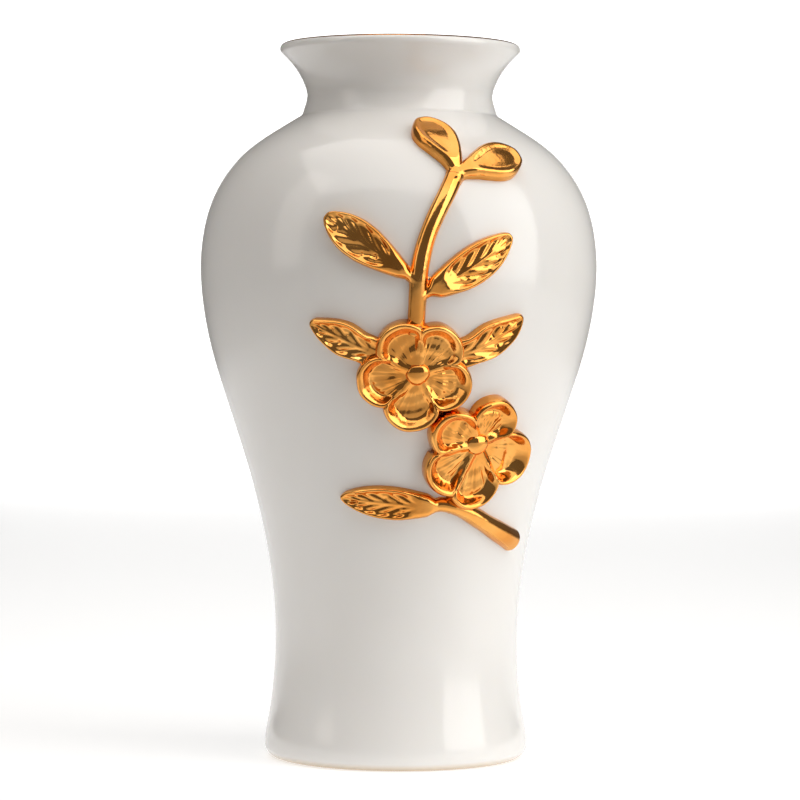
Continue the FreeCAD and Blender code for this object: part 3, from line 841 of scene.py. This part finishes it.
def new_material(name):
    material = bpy.data.materials.new(name)
    material.use_nodes = True
    tree = material.node_tree
    shader = tree.nodes["Principled BSDF"]
    return material, tree, shader


def noise_node(tree, scale, detail):
    coordinates = tree.nodes.new("ShaderNodeTexCoord")
    noise = tree.nodes.new("ShaderNodeTexNoise")
    noise.inputs["Scale"].default_value = scale
    noise.inputs["Detail"].default_value = detail
    noise.inputs["Roughness"].default_value = 0.5
    tree.links.new(coordinates.outputs["Object"], noise.inputs["Vector"])
    return noise


def ramp_node(tree, source, low, high):
    """A colour that goes from low to high over the middle of a noise."""
    ramp = tree.nodes.new("ShaderNodeValToRGB")
    stops = ((NOISE_LOW, low), (NOISE_HIGH, high))
    for element, (position, colour) in zip(ramp.color_ramp.elements, stops):
        element.position = position
        element.color = (*colour, 1)
    tree.links.new(source, ramp.inputs["Fac"])
    return ramp


def map_node(tree, source, low, high, from_low=NOISE_LOW, from_high=NOISE_HIGH):
    remap = tree.nodes.new("ShaderNodeMapRange")
    remap.inputs["From Min"].default_value = from_low
    remap.inputs["From Max"].default_value = from_high
    remap.inputs["To Min"].default_value = low
    remap.inputs["To Max"].default_value = high
    tree.links.new(source, remap.inputs["Value"])
    return remap


def position_axes(tree):
    """The separate axes of a point's place in the object's own frame."""
    coordinates = tree.nodes.new("ShaderNodeTexCoord")
    split = tree.nodes.new("ShaderNodeSeparateXYZ")
    tree.links.new(coordinates.outputs["Object"], split.inputs["Vector"])
    return split


def bump_node(tree, source, strength, distance):
    bump = tree.nodes.new("ShaderNodeBump")
    bump.inputs["Strength"].default_value = strength
    bump.inputs["Distance"].default_value = distance
    tree.links.new(source, bump.inputs["Height"])
    return bump


def porcelain_material():
    """White glazed porcelain, turning darker and buff towards the bottom of its foot ring."""
    material, tree, shader = new_material("glazed_porcelain")
    cloud = noise_node(tree, *GLAZE_CLOUD)
    glaze = ramp_node(tree, cloud.outputs["Fac"], GLAZE_DARK, GLAZE_LIGHT)
    place = position_axes(tree)
    # the colour turns darker and buff towards the bottom edge
    foot = map_node(tree, place.outputs["Z"], 1.0, 0.0, BOTTOM_BUFF_FULL, BOTTOM_BUFF_TOP)
    mix = tree.nodes.new("ShaderNodeMix")
    mix.data_type = "RGBA"
    mix.inputs["B"].default_value = (*BOTTOM_BUFF, 1)
    tree.links.new(foot.outputs["Result"], mix.inputs["Factor"])
    tree.links.new(glaze.outputs["Color"], mix.inputs["A"])
    tree.links.new(mix.outputs["Result"], shader.inputs["Base Color"])
    haze = noise_node(tree, *GLAZE_HAZE)
    rough = map_node(tree, haze.outputs["Fac"], *GLAZE_ROUGHNESS)
    tree.links.new(rough.outputs["Result"], shader.inputs["Roughness"])
    ripple = noise_node(tree, *GLAZE_RIPPLE)
    bump = bump_node(tree, ripple.outputs["Fac"], *GLAZE_BUMP)
    tree.links.new(bump.outputs["Normal"], shader.inputs["Normal"])
    shader.inputs["IOR"].default_value = 1.52
    shader.inputs["Coat Weight"].default_value = 0.3
    shader.inputs["Coat Roughness"].default_value = 0.08
    shader.inputs["Subsurface Weight"].default_value = 0.08
    shader.inputs["Subsurface Radius"].default_value = (0.004, 0.003, 0.002)
    shader.inputs["Subsurface Scale"].default_value = 1.0
    return material


def gold_material():
    """Fired gold lustre, mirror-bright with faint brush wipes and pooled colour."""
    material, tree, shader = new_material("gold_lustre")
    pool = noise_node(tree, *GOLD_POOL)
    colour = ramp_node(tree, pool.outputs["Fac"], GOLD_DEEP, GOLD_BRIGHT)
    tree.links.new(colour.outputs["Color"], shader.inputs["Base Color"])
    shader.inputs["Metallic"].default_value = 1.0
    wipe = noise_node(tree, *GOLD_WIPE)
    rough = map_node(tree, wipe.outputs["Fac"], *GOLD_ROUGHNESS)
    tree.links.new(rough.outputs["Result"], shader.inputs["Roughness"])
    dimple = noise_node(tree, *GOLD_DIMPLE)
    bump = bump_node(tree, dimple.outputs["Fac"], *GOLD_BUMP)
    tree.links.new(bump.outputs["Normal"], shader.inputs["Normal"])
    return material


def stage_material(name, colour, roughness, glow):
    """A plain pale paint with a faint glow of its own."""
    material, tree, shader = new_material(name)
    grain = noise_node(tree, *STAGE_GRAIN)
    shade = tuple(STAGE_SHADE * c for c in colour)
    tint = ramp_node(tree, grain.outputs["Fac"], shade, colour)
    tree.links.new(tint.outputs["Color"], shader.inputs["Base Color"])
    shader.inputs["Roughness"].default_value = roughness
    shader.inputs["Emission Color"].default_value = (*colour, 1)
    shader.inputs["Emission Strength"].default_value = glow
    return material, tree, shader


def floor_material():
    """The floor's paint, which glows only behind and beside the vase."""
    material, tree, shader = stage_material(
        "pale_floor", FLOOR_COLOUR, FLOOR_ROUGHNESS, FLOOR_GLOW
    )
    place = position_axes(tree)
    strength = None
    for axis, start, end in FLOOR_GLOW_AREA:
        full = FLOOR_GLOW if strength is None else 1.0
        fade = map_node(tree, place.outputs[axis], 0.0, full, start, end)
        if strength is None:
            strength = fade.outputs["Result"]
            continue
        product = tree.nodes.new("ShaderNodeMath")
        product.operation = "MULTIPLY"
        tree.links.new(strength, product.inputs[0])
        tree.links.new(fade.outputs["Result"], product.inputs[1])
        strength = product.outputs[0]
    tree.links.new(strength, shader.inputs["Emission Strength"])
    return material


# ---- build ----

white = porcelain_material()
gold = gold_material()

section = section_points()
outline = section[: np.argmax(section[:, 1] > WALL_TOP)]
standing = outline[np.argmin(np.abs(outline[:, 1] - WALL_FOOT)) :]
wall = Wall(flowing(thinned(standing), WALL_STRETCH_POINTS))
turned_body(thinned(section), white)

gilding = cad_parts["rim_gilding"]
gilding.data.materials.clear()
gilding.data.materials.append(gold)

upper_middle = FlowerMiddle("flower_upper_centre")
lower_middle = FlowerMiddle("flower_lower_centre")
stem_middle = node_points("upper_stem").mean(0)
twig_middle = node_points("lower_stem").mean(0)

# Every root runs a little on into its neighbour, and the twig's cut end stops a little short.
upper_stem = stem_ridge("upper_stem", upper_middle.point, 4 * MM, 0.5 * MM, False, 0.0)
twig_root = lower_middle.point + lower_middle.level * -30 * MM
lower_stem = stem_ridge("lower_stem", twig_root, 0.5 * MM, -1.2 * MM, True, 0.3)
left_leaf = leaf_ridge("leaf_upper_left", stem_middle, 0.5 * MM, 2.0 * MM, 0.12, 0.24, 4.6, 0.5)
right_leaf = leaf_ridge("leaf_upper_right", stem_middle, 0.5 * MM, 2.0 * MM, 0.12, 0.2, 5.0, 0.5)
lower_leaf = leaf_ridge("leaf_lower", twig_middle, 3 * MM, 2.6 * MM, 0.16, 0.26, 5.4, 0.6, 0.12)
left_bud = bud_ridge("bud_left", stem_middle, 0.5 * MM, 2.5 * MM, 1.0)
right_bud = bud_ridge("bud_right", stem_middle, 0.5 * MM, 2.5 * MM, -1.0)

upper_stem.lay([left_leaf, right_leaf, left_bud, right_bud])
lower_stem.lay([lower_leaf])
left_leaf.lay([upper_stem])
right_leaf.lay([upper_stem])
lower_leaf.lay([lower_stem])
left_bud.lay([upper_stem, right_bud])
right_bud.lay([upper_stem, left_bud])
for name, pads, blunt in (("leaf_middle_left", 4.6, 0.6), ("leaf_middle_right", 4.4, 0.55)):
    leaf_ridge(name, upper_middle.point, 3 * MM, 6.4 * MM, 0.4, -0.1, pads, blunt).lay([])

# flower, its middle, how far its seams rise, how high its bowls lie above the wall
for name, middle, seam_rise, dish in (
    ("flower_upper", upper_middle, 0.55, 2.1 * MM),
    ("flower_lower", lower_middle, 0.8, 1.8 * MM),
):
    for number in range(1, 6):
        make_petal(f"{name}_petal_{number}", middle, seam_rise, dish, rng.uniform(-1, 1))
    make_button(f"{name}_centre", middle)

# ---- studio ----


def plane(name, width, height, location, rotation, material):
    mesh = bpy.data.meshes.new(name)
    w, h = width / 2, height / 2
    mesh.from_pydata([(-w, -h, 0), (w, -h, 0), (w, h, 0), (-w, h, 0)], [], [(0, 1, 2, 3)])
    mesh.materials.append(material)
    made = bpy.data.objects.new(name, mesh)
    made.location = location
    made.rotation_euler = rotation
    bpy.context.scene.collection.objects.link(made)


def soft_box(name, width, height, azimuth, distance, level, radiance, colour):
    """A rectangular studio light that faces the vase."""
    light = bpy.data.lights.new(name, "AREA")
    light.shape = "RECTANGLE"
    light.size = width
    light.size_y = height
    light.energy = radiance * math.pi * width * height
    light.color = colour
    made = bpy.data.objects.new(name, light)
    turn = math.radians(azimuth)
    made.location = (distance * math.sin(turn), -distance * math.cos(turn), level)
    toward_vase = Vector(LIGHT_AIM) - made.location
    made.rotation_euler = toward_vase.to_track_quat("-Z", "Y").to_euler()
    bpy.context.scene.collection.objects.link(made)


plane("floor", FLOOR_SIZE, FLOOR_SIZE, (0, 0, 0), (0, 0, 0), floor_material())
backdrop_paint = stage_material(
    "pale_backdrop", BACKDROP_COLOUR, BACKDROP_ROUGHNESS, BACKDROP_GLOW
)[0]
backdrop_place = (0, BACKDROP_DISTANCE, BACKDROP_HEIGHT / 2)
upright = (math.pi / 2, 0, 0)
plane("backdrop", BACKDROP_WIDTH, BACKDROP_HEIGHT, backdrop_place, upright, backdrop_paint)

for studio_light in STUDIO_LIGHTS:
    soft_box(*studio_light)

world = bpy.data.worlds.new("studio")
world.use_nodes = True
world.node_tree.nodes["Background"].inputs["Color"].default_value = (*WORLD_COLOUR, 1)
world.node_tree.nodes["Background"].inputs["Strength"].default_value = WORLD_STRENGTH
bpy.context.scene.world = world
bpy.context.scene.view_settings.view_transform = "Standard"

# ---- camera ----

camera = bpy.data.objects.new("camera", bpy.data.cameras.new("camera"))
camera.data.lens = CAMERA_LENS
camera.data.sensor_width = CAMERA_SENSOR
looking = (
    Matrix.Rotation(-CAMERA_YAW_RIGHT, 4, "Z")
    @ Matrix.Rotation(math.pi / 2 - CAMERA_PITCH_DOWN, 4, "X")
    @ Matrix.Rotation(CAMERA_ROLL, 4, "Z")
)
camera.matrix_world = Matrix.Translation(CAMERA_PLACE) @ looking
bpy.context.scene.collection.objects.link(camera)
bpy.context.scene.camera = camera
